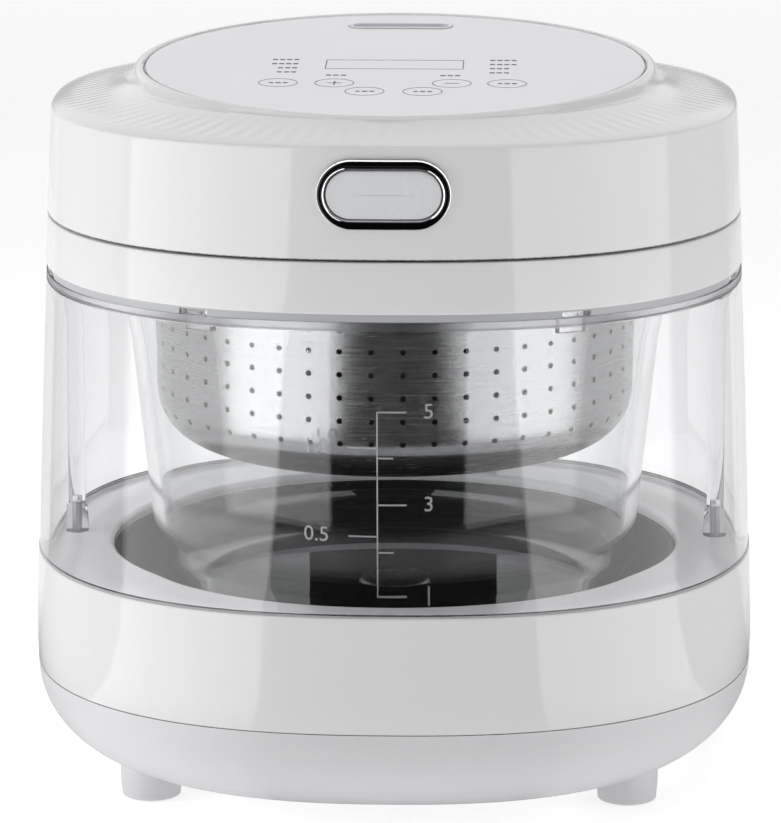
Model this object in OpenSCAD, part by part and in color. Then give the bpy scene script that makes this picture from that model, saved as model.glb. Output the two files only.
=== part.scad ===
// Glass-pot rice cooker: a rounded-square body with a clear window, a glass pot, a steaming
// basket and a hinged lid. Millimetres, +Z up, front towards -Y, origin on the ground below
// the pot's axis.

/* [Body] */
// Half width of the body at its widest
body_half = 128.5; // [127:0.1:130]
// Half width of the body at the lid's rim
rim_half = 121.1; // [120:0.1:122.5]
// Roundness of the plan: 2 is a circle, larger is squarer
plan_exp = 2.4; // [2.3:0.05:2.5]
// Wall thickness of the plastic shells
wall = 2.6; // [2.2:0.1:3]
// Height of the floor of the bottom cover
floor_z = 6; // [5:0.5:8]
// Height of the seam between the bottom cover and the gloss band
seam_z = 39.6; // [38:0.2:42]
// Height of the deck around the pot's well
deck_z = 79.3; // [78.5:0.1:80]
// Radius of the hole in the deck
well_r = 101.8; // [101.6:0.1:102.4]

/* [Window and collar] */
// Thickness of the clear window
window_t = 2.9; // [2.5:0.1:3.2]
// Height of the underside of the collar
collar_z = 183.3; // [183:0.1:184]
// Height of the top of the collar
collar_top = 200.7; // [200.5:0.1:200.8]
// Height of the clear posts' feet above the deck
post_foot_h = 9; // [6:0.5:12]

/* [Lid] */
// Height of the lid's lower edge
lid_z = 201.3; // [201.2:0.05:201.4]
// Height of the edge between the lid's side and its shoulder
edge_z = 238.3; // [237.8:0.1:238.5]
// Height of the panel's centre
panel_z = 250.2; // [250:0.1:250.6]
// Radius of the control panel
panel_r = 88.5; // [87.5:0.1:88.6]
// Tilt of the control panel towards the front, in degrees
panel_tilt = 3.6; // [3.2:0.1:3.8]

/* [Pot and basket] */
// Height of the pot's seat on the heating plate
seat_z = 60; // [59.5:0.1:60]
// Outer radius of the pot's wall at its top
pot_top_r = 99.4; // [98.5:0.1:99.6]
// Outer radius of the pot's wall above its rounded corner
pot_low_r = 86.6; // [85:0.1:87]
// Thickness of the glass
glass_t = 4; // [3.5:0.1:4.2]
// Outer radius of the basket
basket_r = 85.8; // [84:0.1:86]
// Height of the basket's bottom
basket_z = 115.7; // [112:0.1:118]
// Holes round the basket
basket_holes = 50; // [40:2:56]

/* [Button and latch] */
// Width of the button
button_w = 38.5; // [37:0.1:38.6]
// Height of the button
button_h = 16.2; // [15:0.1:16.4]

/* [Hidden] */

$fn = 96;
eps = 0.01;
steps = 72;               // points round a rounded-square section
wide_z = 45;              // height at which the body is widest
rim_z = 235;              // height at which its half width is rim_half
flare = 1.35;             // how the side leans in towards the lid
bowl_flat = 92.6;         // half width of the flat floor
window_z = 80.9;          // underside of the window
window_top = 180.6;
lip_z = 177.6;            // underside of the thicker lip along the window's top
window_gap = 0.45;        // how far the window sits inside the body's side
foot_x = 83.5;
foot_y = 68;
foot_r = 10.75;
foot_top = 20;            // top of the flange inside the bottom cover
sensor_r = 13;
pot_corner = 18;
pot_rim_z = 197.5;        // underside of the pot's flange
pot_rim_r = 105.9;
pot_rim_top = 200.9;
hinge_y = 131;
hinge_z = 204;
button_z = 223.4;
button_y = 122.4;         // distance of the button's face from the axis
face_r = 281;             // radius that follows the lid's front
latch_y = 113.5;
latch_z = 211.5;
vent_y = 67.3;
post_x = 116.4;

white = "#F1F1F2";
satin = "#E6E6E7";
pale = "#DCDDE0";
clear = [0.93, 0.96, 0.97, 0.3];
steel = "#C3C5C8";
dark = "#2E2F31";
black = "#151515";

// Signed power, used by the rounded-square section
function spow(v, e) = sign(v) * pow(abs(v), e);
// Half width of the body's outside at height z
function side(z) = body_half - (body_half - rim_half)
    * pow(max(0, (z - wide_z) / (rim_z - wide_z)), flare);
// One section: half width a, height z, roundness n, tilt towards the front
function ring(a, z, n = plan_exp, tilt = 0) = [
    for (i = [0 : steps - 1])
        let (t = 360 * i / steps, y = a * spow(sin(t), 2 / n))
            [a * spow(cos(t), 2 / n), y, z + y * tan(tilt)]];
// Point at t on a cubic curve with four control points
function bezier(p, t) = pow(1 - t, 3) * p[0] + 3 * t * pow(1 - t, 2) * p[1]
    + 3 * t * t * (1 - t) * p[2] + pow(t, 3) * p[3];
// Points of an arc
function arc(cx, cy, r, a0, a1, n) = [
    for (i = [0 : n]) let (a = a0 + (a1 - a0) * i / n) [cx + r * cos(a), cy + r * sin(a)]];
// Half width and height on the rounded bottom, from the flat floor (0) to the seam (1)
function bowl(u, inset) = let (a = 90 * (1 - u))
    [bowl_flat + (body_half - 0.2 - bowl_flat) * pow(cos(a), 1.13) - inset,
     seam_z - (seam_z - floor_z - inset) * pow(sin(a), 0.96)];
// Outer radius of the pot at height z
function pot_r(z) = pot_low_r + (pot_top_r - pot_low_r)
    * (z - seat_z - pot_corner) / (pot_rim_z - seat_z - pot_corner);

// Skin through a list of sections; looped joins the last section to the first
module loft(rings, looped = false) {
    count = len(rings);
    bands = looped ? count : count - 1;
    walls = [
        for (k = [0 : bands - 1], i = [0 : steps - 1])
            let (j = (i + 1) % steps, lo = k * steps, hi = ((k + 1) % count) * steps)
                each [[lo + i, hi + i, hi + j], [lo + i, hi + j, lo + j]]];
    caps = looped ? [] : [
        [for (i = [0 : steps - 1]) i],
        [for (i = [0 : steps - 1]) count * steps - 1 - i]];
    polyhedron(points = [for (r = rings) each r], faces = concat(walls, caps), convexity = 8);
}

// Coil along +Z that rests on z = 0
module coil(radius, wire, turns, height) {
    sides = 6;
    per_turn = 12;
    count = turns * per_turn;
    points = [
        for (k = [0 : count], i = [0 : sides - 1])
            let (a = 360 * k / per_turn, b = 360 * i / sides, r = radius + wire * cos(b))
                [r * cos(a), r * sin(a), wire + (height - 2 * wire) * k / count + wire * sin(b)]];
    faces = concat(
        [for (k = [0 : count - 1], i = [0 : sides - 1])
            let (j = (i + 1) % sides, lo = k * sides, hi = lo + sides)
                each [[lo + i, hi + j, hi + i], [lo + i, lo + j, hi + j]]],
        [[for (i = [0 : sides - 1]) sides - 1 - i], [for (i = [0 : sides - 1]) count * sides + i]]);
    polyhedron(points = points, faces = faces, convexity = 10);
}

// Flat plate with round ends
module pill(w, h) {
    translate([-(w - h) / 2, 0]) circle(d = h);
    translate([(w - h) / 2, 0]) circle(d = h);
    square([w - h, h], center = true);
}

// Pill that stands on the lid's front and reaches back from face_y by depth
module front_pill(w, h, face_y, depth) {
    intersection() {
        translate([0, 0, button_z]) rotate([90, 0, 0])
            translate([0, 0, face_y - depth]) linear_extrude(depth) pill(w, h);
        translate([0, face_r - face_y, button_z - h]) cylinder(r = face_r, h = 2 * h, $fn = 200);
    }
}

// Plate with rounded corners, lying in the XY plane
module round_plate(w, d, h, r) {
    linear_extrude(h) {
        square([w - 2 * r, d], center = true);
        square([w, d - 2 * r], center = true);
        for (x = [-1, 1], y = [-1, 1]) translate([x * (w / 2 - r), y * (d / 2 - r)]) circle(r);
    }
}

// Countersunk screw with its head's face at z = 0 and its shank towards +Z
module screw(head_r, head_h, shank_r, length) {
    difference() {
        cylinder(r = head_r, h = head_h);
        for (a = [0, 90]) rotate(a) translate([-head_r * 0.6, -0.4, -eps])
            cube([head_r * 1.2, 0.8, head_h * 0.5]);
    }
    translate([0, 0, head_h]) cylinder(r = shank_r, h = length - head_h);
}

module at_feet() {
    for (x = [-1, 1], y = [-1, 1]) translate([x * foot_x, y * foot_y, 0]) children();
}

module tube(outer, inner, h) {
    difference() {
        cylinder(r = outer, h = h);
        translate([0, 0, -eps]) cylinder(r = inner, h = h + 2 * eps);
    }
}

// ---------------------------------------------------------------- base

module bottom_cover() {
    outside = [for (u = [0 : 0.125 : 1]) let (p = bowl(u, 0)) ring(p[0], p[1])];
    inside = [for (u = [1 : -0.2 : 0]) let (p = bowl(u, wall)) ring(p[0], p[1])];
    color(satin) {
        difference() {
            loft(concat(outside, inside));
            at_feet() translate([0, 0, floor_z - 2]) cylinder(r = foot_r + 0.05, h = 20);
            for (x = [-35 : 7 : 35], y = [-40, 40]) translate([x, y, floor_z - 1])
                linear_extrude(wall + 2) rotate(90) pill(26, 3);
        }
        for (x = [-40, 40], y = [-88, -48]) translate([x, y, floor_z + wall]) tube(3, 1.2, 5.4);
    }
}

module feet() {
    profile = [[4.2, 0.8], [9.9, 0.8], [10.25, 1.2], [foot_r, 7], [foot_r, 17.8], [12.6, 17.8],
               [12.6, foot_top], [2.2, foot_top], [2.2, 4.8], [4.2, 4.8]];
    color(satin) at_feet() difference() {
        rotate_extrude() polygon(profile);
        translate([0, 0, 0.8 - eps]) tube(8, 4, 1.2 + eps);
    }
}

module foot_pads() {
    profile = [[4.6, 0], [7.4, 0], [7.8, 0.4], [7.8, 2], [4.6, 2]];
    color("#9A9B9D") at_feet() rotate_extrude() polygon(profile);
}

module foot_screws() {
    color(steel) at_feet() translate([0, 0, 2.2]) screw(3.6, 2.6, 1.9, 32);
}

module base_housing() {
    outside = [ring(body_half - 0.5, seam_z + 0.2), ring(body_half - 0.1, seam_z + 0.7),
               ring(body_half, wide_z + 4), ring(side(65), 65), ring(side(79), 79),
               ring(side(80) - 0.15, 79.8), ring(side(80) - 0.6, 80.2)];
    inside = [ring(side(80) - wall, 80.2), ring(side(78) - wall, 76.6),
              ring(side(78) - wall - 3.4, 76.6), ring(side(78) - wall - 3.4, 74.6),
              ring(side(74) - wall, 71), ring(body_half - wall, seam_z + 0.2)];
    color(white) difference() {
        loft(concat(outside, inside), looped = true);
        translate([0, 120, 58]) cube([28.4, 30, 20.4], center = true);
        for (x = [-20, 20]) translate([x, 120, 58]) rotate([-90, 0, 0]) cylinder(r = 1.7, h = 15);
    }
}

module deck_ring() {
    rim = side(80);
    rings = [ring(rim - wall - 0.2, deck_z - 2.5), ring(rim - wall - 0.2, 80.2),
             ring(rim - 4.2, 80.2), ring(rim - 4.8, deck_z), ring(well_r + 1.6, deck_z, 2),
             ring(well_r + 0.5, deck_z - 0.4, 2), ring(well_r, deck_z - 1.4, 2),
             ring(well_r, deck_z - 3.5, 2), ring(well_r + 2.2, deck_z - 3.5, 2),
             ring(well_r + 2.4, deck_z - 2.5, 2)];
    color(pale) {
        difference() {
            loft(rings, looped = true);
            translate([0, 111, deck_z - 5]) cylinder(r = 4.2, h = 10);
            for (x = [-1, 1]) translate([x * post_x, 0, deck_z - 5]) cylinder(r = 1.7, h = 10);
        }
        at_feet() translate([0, 0, foot_top]) difference() {
            cylinder(r = 4.6, h = deck_z - 2 - foot_top);
            translate([0, 0, -eps]) cylinder(r = 1.9, h = 24);
        }
    }
}

module well_liner() {
    profile = [[70.6, 56], [97, 56], [100.4, 59], [100.4, 74.8], [well_r, 74.8],
               [well_r, 75.7], [99.4, 75.7], [99.4, 59.6], [96.4, 57], [70.6, 57]];
    color(dark) rotate_extrude($fn = 180) polygon(profile);
}

module heating_plate() {
    profile = [[sensor_r + 1.2, 52], [66, 52], [66, 55], [70, 55], [70, seat_z - 0.6],
               [69.4, seat_z], [sensor_r + 1.8, seat_z], [sensor_r + 1.2, seat_z - 0.6]];
    color("#8E9093") rotate_extrude($fn = 180) polygon(profile);
}

module heating_element() {
    tube_r = 3.6;
    color("#6F7072") {
        translate([0, 0, 52 - tube_r]) rotate([0, 0, 100]) rotate_extrude(angle = 340)
            translate([48, 0]) circle(tube_r, $fn = 32);
        for (a = [80, 100]) rotate(a) translate([48, 0, 30]) cylinder(r = 2.2, h = 52 - 30 - tube_r);
    }
}

module plate_supports() {
    color(steel) for (a = [90, 210, 330]) rotate(a) translate([62, 0, floor_z + wall]) {
        cylinder(r = 4, h = 52 - floor_z - wall);
        cylinder(r = 6, h = 2);
    }
}

module sensor_guide() {
    color("#77787A") translate([0, 0, 30]) {
        tube(13.6, 9.6, 22);
        tube(20, 5.2, 2);
    }
}

module sensor_spring() {
    color(steel) translate([0, 0, 32]) coil(7.4, 0.7, 6, 22);
}

module sensor_plunger() {
    profile = [[0, 24], [4.8, 24], [4.8, 54], [8.6, 54], [8.6, 50], [9.4, 50], [9.4, 56.5],
               [sensor_r, 56.5], [sensor_r, seat_z - 0.8], [sensor_r - 0.8, seat_z], [0, seat_z]];
    color("#A9AAAD") rotate_extrude() polygon(profile);
}

module thermal_cutout() {
    color(black) translate([26, 21, 45]) {
        cylinder(r = 7.5, h = 7);
        for (x = [-4, 4]) translate([x - 1.5, -0.4, -8]) cube([3, 0.8, 8]);
    }
}

module power_board() {
    color("#2F6B46") difference() {
        translate([-45, -93, 14]) cube([90, 50, 1.6]);
        for (x = [-40, 40], y = [-88, -48]) translate([x, y, 13]) cylinder(r = 1.4, h = 4);
    }
}

module board_parts() {
    color("#3A4048") translate([-34, -80, 15.6]) cube([24, 20, 17]);
    color("#23467A") translate([-4, -84, 15.6]) cube([19, 11, 15]);
    color("#202226") for (x = [4, 17]) translate([x, -60, 15.6]) cylinder(r = 5, h = 16);
    color(steel) translate([25, -84, 15.6]) {
        cube([3, 26, 20]);
        for (y = [0 : 5 : 25]) translate([0, y, 0]) cube([10, 1, 20]);
    }
}

module inlet_housing() {
    color(black) difference() {
        union() {
            translate([0, 118, 58]) rotate([-90, 0, 0]) translate([0, 0, -10])
                round_plate(28, 20, 20.6, 2);
            translate([0, body_half, 58]) rotate([-90, 0, 0]) round_plate(48, 24, 2.5, 5);
        }
        translate([0, 111, 58]) rotate([-90, 0, 0]) round_plate(24, 16, 30, 3);
        inlet_pins();
        for (x = [-20, 20]) translate([x, 100, 58]) rotate([-90, 0, 0]) cylinder(r = 1.7, h = 40);
    }
}

module inlet_pins() {
    color(steel) {
        for (x = [-7, 7]) translate([x - 1, 103, 54]) cube([2, 22, 4]);
        translate([-1, 103, 59]) cube([2, 22, 4]);
    }
}

module inlet_screws() {
    color(steel) for (x = [-20, 20]) translate([x, body_half + 4, 58]) rotate([90, 0, 0])
        screw(2.9, 1.5, 1.6, 12);
}

// ---------------------------------------------------------------- window and collar

module window_seal_lower() {
    a = side(80);
    color("#A9AAAD") loft([ring(a - 0.8, 80.2), ring(a - 0.8, window_z), ring(a - 3.8, window_z),
                           ring(a - 3.8, 80.2)], looped = true);
}

module window() {
    inner = window_gap + window_t;
    color(clear) loft([
        ring(side(window_z) - window_gap, window_z), ring(side(115) - window_gap, 115),
        ring(side(150) - window_gap, 150), ring(side(window_top) - window_gap, window_top),
        ring(side(window_top) - inner - 0.5, window_top), ring(side(lip_z) - inner - 0.5, lip_z + 0.4),
        ring(side(lip_z) - inner, lip_z - 0.1), ring(side(150) - inner, 150),
        ring(side(115) - inner, 115), ring(side(window_z) - inner, window_z)], looped = true);
}

// Places on the window's inside where a clip hooks into the collar
module at_clips() {
    a = side(lip_z) - window_gap - window_t;
    for (t = [20, 60, 120, 160, 200, 240, 300, 340]) {
        r = a / pow(pow(abs(cos(t)), plan_exp) + pow(abs(sin(t)), plan_exp), 1 / plan_exp);
        rotate(t) translate([r, 0, 0]) children();
    }
}

module window_seal_upper() {
    a = side(window_top);
    web = 0.6;
    color("#B9BBBE") difference() {
        loft([ring(a - 0.9, window_top), ring(a - 0.9, collar_z), ring(a - 3.6, collar_z),
              ring(a - 3.6, window_top)], looped = true);
        at_clips() translate([-4, -5.2, window_top - 1]) cube([9, 10.4, collar_z - web - window_top + 1]);
    }
}

module window_clips() {
    color(clear) at_clips() {
        translate([-4.7, -5, 175]) cube([3.3, 10, collar_z - 175]);
        translate([-1.6, -5, window_top]) cube([3.6, 10, collar_z - 0.7 - window_top]);
    }
}

module tie_posts() {
    profile = [[0, 0], [4.4, 0], [4.4, 3], [4, post_foot_h], [3.2, post_foot_h + 1.5],
               [3.2, collar_z + 1.9 - deck_z], [0, collar_z + 1.9 - deck_z]];
    color(clear) for (x = [-1, 1]) translate([x * post_x, 0, deck_z]) difference() {
        rotate_extrude() polygon(profile);
        translate([0, 0, -1]) cylinder(r = 1.6, h = 14);
    }
}

module post_screws() {
    color(steel) for (x = [-1, 1]) translate([x * post_x, 0, deck_z - 5.1])
        screw(3, 2.6, 1.6, 16);
}

module rear_spine() {
    color(dark) difference() {
        translate([0, 110.1, deck_z]) round_plate(76, 13, collar_z + 1.9 - deck_z, 4);
        translate([0, 110.1, deck_z - 1]) round_plate(72, 9, 120, 2);
    }
}

module spine_cable() {
    color(dark) for (x = [-2, 2]) translate([x, 111, 69]) cylinder(r = 1.6, h = 120, $fn = 24);
}

module collar() {
    ledge = 197;
    rings = [ring(side(collar_z) - 0.7, collar_z), ring(side(184) - 0.05, collar_z + 0.7),
             ring(side(192), 192), ring(side(collar_top) - 0.05, collar_top - 0.7),
             ring(side(collar_top) - 0.7, collar_top), ring(106.9, collar_top, 2),
             ring(106.6, collar_top - 0.3, 2), ring(106.6, ledge, 2), ring(101.8, ledge, 2),
             ring(101.4, ledge - 0.4, 2), ring(101.4, 185.6, 2), ring(103.4, 185.2, 2),
             ring(side(185) - 4.2, 185.2), ring(side(collar_z) - 4.2, collar_z)];
    color(white) difference() {
        loft(rings, looped = true);
        translate([-9.5, -119.2, 187]) cube([19, 8.2, 20]);
        translate([-9.5, -119.2, 187]) cube([19, 11.2, 11.2]);
        translate([-14, -119.2, 198.2]) cube([28, 11.2, 10]);
        translate([0, 111.6, 180]) cylinder(r = 3.9, h = 30);
    }
}

module pot_seat_ring() {
    profile = [[102.2, 197], [106.2, 197], [106.2, 197.3], [102.2, 197.3]];
    color("#C9CACC") rotate_extrude($fn = 180) polygon(profile);
}

module latch_catch() {
    color(steel) difference() {
        translate([-13.8, -119, 198.2]) cube([27.6, 10.8, 2.2]);
        translate([-9.3, -119.2, 198]) cube([18.6, 8.2, 3]);
    }
}

module hinge_bracket() {
    color(white) difference() {
        union() {
            for (x = [-17, 8]) translate([x, hinge_y, hinge_z]) rotate([0, 90, 0])
                cylinder(r = 6.2, h = 9);
            for (x = [-17, 8]) translate([x, 124, 186]) cube([9, 13.2, hinge_z - 186]);
            translate([-17, 124, 186]) cube([34, 13.2, 8]);
        }
        translate([-20, hinge_y, hinge_z]) rotate([0, 90, 0]) cylinder(r = 2.5, h = 40);
        translate([-20, 123, 197]) cube([40, 2.6, 8]);
    }
}

module hinge_pin() {
    color(steel) translate([-29, hinge_y, hinge_z]) rotate([0, 90, 0]) {
        cylinder(r = 2.5, h = 57.5);
        translate([0, 0, -1.5]) cylinder(r = 4, h = 1.5);
    }
}

module hinge_spring() {
    color(steel) translate([-7.4, hinge_y, hinge_z]) rotate([0, 90, 0]) coil(4.4, 0.8, 7, 14.8);
}

// ---------------------------------------------------------------- pot and basket

module glass_pot() {
    low = seat_z + pot_corner;
    in_r = pot_corner - glass_t;
    outside = concat([[0, seat_z]], arc(pot_low_r - pot_corner, low, pot_corner, -90, 0, 9),
                     [[pot_r(pot_rim_z - 3), pot_rim_z - 3], [pot_top_r + 2, pot_rim_z]]);
    flange = [[pot_rim_r - 0.6, pot_rim_z], [pot_rim_r, pot_rim_z + 0.8],
              [pot_rim_r, pot_rim_top - 0.8], [pot_rim_r - 0.6, pot_rim_top],
              [pot_top_r - glass_t + 0.8, pot_rim_top], [pot_top_r - glass_t, pot_rim_top - 1]];
    inside = concat(arc(pot_low_r - pot_corner, low, in_r, 0, -90, 9), [[0, seat_z + glass_t]]);
    color(clear) rotate_extrude($fn = 180) polygon(concat(outside, flange, inside));
}

module steam_basket() {
    sheet = 0.8;
    fillet = 22;
    rise = 8.1;
    centre = basket_z + fillet;
    outside = concat([[0, basket_z]], arc(basket_r - fillet, centre, fillet, -90, 0, 9),
                     [[basket_r, pot_rim_top], [98.5, pot_rim_top], [98.5, pot_rim_top + sheet]]);
    inside = concat([[basket_r - sheet, pot_rim_top + sheet]],
                    arc(basket_r - fillet, centre, fillet - sheet, 0, -90, 9),
                    [[0, basket_z + sheet]]);
    color(steel) difference() {
        rotate_extrude($fn = 180) polygon(concat(outside, inside));
        for (k = [0 : 6], i = [0 : basket_holes - 1])
            rotate((i + 0.5) * 360 / basket_holes - 90)
                translate([basket_r - 14, 0, basket_z + 15.4 + rise * k]) rotate([0, 90, 0])
                    cylinder(r = 1.05, h = 20, $fn = 16);
        for (k = [1 : 5], i = [0 : 6 * k - 1]) rotate(i * 60 / k)
            translate([k * 11, 0, basket_z - 1]) cylinder(r = 1.5, h = 4, $fn = 16);
    }
}

// ---------------------------------------------------------------- lid

module lid_shell() {
    edge_half = side(edge_z);
    foot = [95.5, 244.2];
    rise = [[edge_half - 0.5, edge_z + 0.6], [115.5, 240.2], [104, 241.4], foot];
    lip = [foot, [93.6, 245], [93, 247.6], [92.2, panel_z - 0.6]];
    edge = [ring(side(lid_z) - 0.7, lid_z), ring(side(lid_z) - 0.05, lid_z + 0.7),
            ring(side(212), 212), ring(side(224), 224), ring(edge_half, edge_z - 0.4),
            ring(edge_half - 0.2, edge_z + 0.2)];
    shoulder = [for (t = [0 : 0.1 : 1]) let (p = bezier(rise, t))
        ring(p[0], p[1], plan_exp + (2 - plan_exp) * t * t)];
    bead = [for (t = [0.34, 0.67, 1]) let (p = bezier(lip, t))
        ring(p[0], p[1], 2, panel_tilt * t)];
    top = [ring(91.4, panel_z + 0.2, 2, panel_tilt), ring(90.4, panel_z + 0.5, 2, panel_tilt),
           ring(89.5, panel_z + 0.3, 2, panel_tilt), ring(panel_r + 0.5, panel_z - 0.3, 2, panel_tilt),
           ring(panel_r + 0.4, panel_z - 2.1, 2, panel_tilt), ring(85.5, panel_z - 2.1, 2, panel_tilt),
           ring(85.5, panel_z - 4.6, 2, panel_tilt)];
    under = [ring(91.5, 241.8, 2, 1.2), ring(100, 240.4, 2.1), ring(111, 238.4, 2.3),
             ring(116.6, 236), ring(rim_half - wall, 232), ring(side(lid_z) - wall, lid_z)];
    color(white) {
        difference() {
            loft(concat(edge, shoulder, bead, top, under), looped = true);
            translate([0, -110, button_z]) rotate([90, 0, 0]) linear_extrude(20) pill(43.4, 21.8);
            front_pill(45.2, 23.6, button_y + 3, 3.7);
            for (x = [-28, 16.5]) translate([x, 110, lid_z - 1]) cube([11.5, 20, 10]);
        }
        for (x = [-82, 82], y = [-82, 82]) translate([x, y, 204.3]) tube(4.2, 1.5, 34.5);
        for (x = [-15, 7]) translate([x, -106.6, 219]) cube([8, 2, 21]);
        for (x = [-12.4, 10]) difference() {
            translate([x, 0, 206.5]) {
                translate([0, -119.6, 0]) cube([2.4, 10, 5.9]);
                translate([0, -116.9, 0]) cube([2.4, 7.3, 8.5]);
            }
            translate([x - 1, -latch_y, latch_z]) rotate([0, 90, 0]) cylinder(r = 1.5, h = 5);
        }
    }
}

module lid_liner() {
    rings = [ring(104.6, 212, 2), ring(105, 202, 2), ring(119.4, 202), ring(119.4, 204.2),
             ring(107, 204.2, 2), ring(106.6, 214, 2)];
    color(pale) difference() {
        loft(rings);
        translate([-13, -119.4, 200]) cube([26, 12.2, 20]);
        translate([0, vent_y, 205]) cylinder(r = 8.1, h = 20);
        for (x = [-82, 82], y = [-82, 82]) translate([x, y, 200]) cylinder(r = 1.6, h = 20);
        translate([-32, 109.5, 200]) cube([64, 14, 20]);
    }
}

module lid_screws() {
    color(steel) for (x = [-82, 82], y = [-82, 82]) translate([x, y, lid_z])
        screw(3, 0.7, 1.5, 14);
}

module hinge_arms() {
    color(white) difference() {
        union() {
            for (x = [-27.4, 17.4]) translate([x, hinge_y, hinge_z]) rotate([0, 90, 0])
                cylinder(r = 5.6, h = 10);
            for (x = [-27.4, 17.4]) translate([x, 112, 202.2]) cube([10, hinge_y - 112, 6.6]);
            translate([-28, 113.5, 206]) cube([56, 3.5, 20]);
        }
        translate([-30, hinge_y, hinge_z]) rotate([0, 90, 0]) cylinder(r = 2.56, h = 60);
        translate([-17.4, 118, 200]) cube([34.8, 30, 30]);
    }
}

module inner_lid() {
    profile = [[0, 206.4], [60, 205.6], [96, 204.2], [101, 204.2], [101, 205], [96.2, 205],
               [60, 206.4], [0, 207.2]];
    color(steel) difference() {
        rotate_extrude($fn = 180) polygon(profile);
        translate([0, vent_y, 200]) cylinder(r = 7, h = 12);
    }
}

module lid_gasket() {
    profile = [[99.6, 202.1], [101.4, 202.1], [104, 205], [104.1, 212], [102.4, 212],
               [102.2, 206], [99.4, 206], [99.4, 205], [101, 205], [101, 204.2], [98.8, 204.2]];
    color("#D9D9D6") rotate_extrude($fn = 180) polygon(profile);
}

module steam_valve() {
    profile = [[3, 203], [9.5, 203], [9.5, 204.8], [6.9, 205.2], [6.9, 209], [3, 209]];
    color("#D9D9D6") translate([0, vent_y, 0]) rotate_extrude() polygon(profile);
}

module steam_duct() {
    color(pale) translate([0, vent_y, 209]) tube(8, 6.6, 42.4);
}

module steam_vent_cap() {
    color("#C9CAD0") translate([0, 0, panel_z]) rotate([panel_tilt, 0, 0])
        translate([0, vent_y, 0]) difference() {
            union() {
                translate([0, 0, -1.8]) linear_extrude(2.1) pill(38, 9.6);
                translate([0, 0, -2.1]) linear_extrude(0.4) pill(36, 8.6);
            }
            translate([0, 0, -0.8]) linear_extrude(3) pill(34.8, 6.4);
            translate([0, -2.2, -3]) linear_extrude(6) pill(28, 1.4);
        }
}

module control_panel() {
    color("#DEDDE3") translate([0, 0, panel_z]) rotate([panel_tilt, 0, 0]) difference() {
        translate([0, 0, -2]) union() {
            cylinder(r = panel_r, h = 1.7, $fn = 180);
            translate([0, 0, 1.7]) cylinder(r1 = panel_r, r2 = panel_r - 0.3, h = 0.3, $fn = 180);
        }
        translate([0, vent_y, -3]) linear_extrude(5) pill(38.6, 10.2);
    }
}

module display_module() {
    color(black) translate([0, 0, panel_z]) rotate([panel_tilt, 0, 0])
        translate([0, -2.7, -7]) translate([-26, -10, 0]) cube([52, 20, 4.9]);
}

module touch_board() {
    color("#2F6B46") translate([0, 0, panel_z]) rotate([panel_tilt, 0, 0])
        translate([0, -12, -8.7]) difference() {
            cylinder(r = 62, h = 1.6);
            for (a = [45 : 90 : 315]) rotate(a) translate([56, 0, -1]) cylinder(r = 1.6, h = 4);
        }
}

module button_bezel() {
    color(black) difference() {
        union() {
            front_pill(45.1, 23.5, button_y + 0.9, 1.6);
            front_pill(43, 21.4, button_y + 0.9, 6);
        }
        front_pill(41, 18.7, button_y + 3, 20);
    }
}

module bezel_trim() {
    color("#D6D7D9") difference() {
        front_pill(41, 18.7, button_y + 1.1, 6.2);
        front_pill(button_w + 0.6, button_h + 0.6, button_y + 3, 20);
    }
}

module lid_button() {
    color("#CFD0D2") {
        front_pill(button_w, button_h, button_y + 0.3, 5);
        translate([-4, -118.2, button_z + 3.5]) cube([8, 3.1, 2]);
    }
}

module button_spring() {
    color(steel) for (x = [-11, 11]) translate([x, -106.6, button_z]) rotate([90, 0, 0])
        coil(2.2, 0.35, 5, 11);
}

module latch_hook() {
    color(steel) difference() {
        union() {
            translate([-8.6, -latch_y, latch_z]) rotate([0, 90, 0]) cylinder(r = 3.4, h = 17.2);
            translate([-5, -latch_y - 1.5, latch_z]) cube([10, 3, 18]);
            translate([-8, -latch_y - 1.5, 193.4]) cube([16, 3, latch_z - 193.4]);
            translate([-8, -latch_y - 1.5, 193.4]) cube([16, 5.6, 4]);
        }
        translate([-10, -latch_y, latch_z]) rotate([0, 90, 0]) cylinder(r = 1.56, h = 20);
    }
}

module latch_pin() {
    color(steel) translate([-12.8, -latch_y, latch_z]) rotate([0, 90, 0]) cylinder(r = 1.5, h = 25.6);
}

bottom_cover();
feet();
foot_pads();
foot_screws();
base_housing();
deck_ring();
well_liner();
heating_plate();
heating_element();
plate_supports();
sensor_guide();
sensor_spring();
sensor_plunger();
thermal_cutout();
power_board();
board_parts();
inlet_housing();
inlet_pins();
inlet_screws();
window_seal_lower();
window();
window_seal_upper();
window_clips();
tie_posts();
post_screws();
rear_spine();
spine_cable();
collar();
pot_seat_ring();
latch_catch();
hinge_bracket();
hinge_pin();
hinge_spring();
glass_pot();
steam_basket();
lid_shell();
lid_liner();
lid_screws();
hinge_arms();
inner_lid();
lid_gasket();
steam_valve();
steam_duct();
steam_vent_cap();
control_panel();
display_module();
touch_board();
button_bezel();
bezel_trim();
lid_button();
button_spring();
latch_hook();
latch_pin();
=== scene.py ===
import math

import bmesh
import bpy
from mathutils import Matrix, Vector


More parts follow.
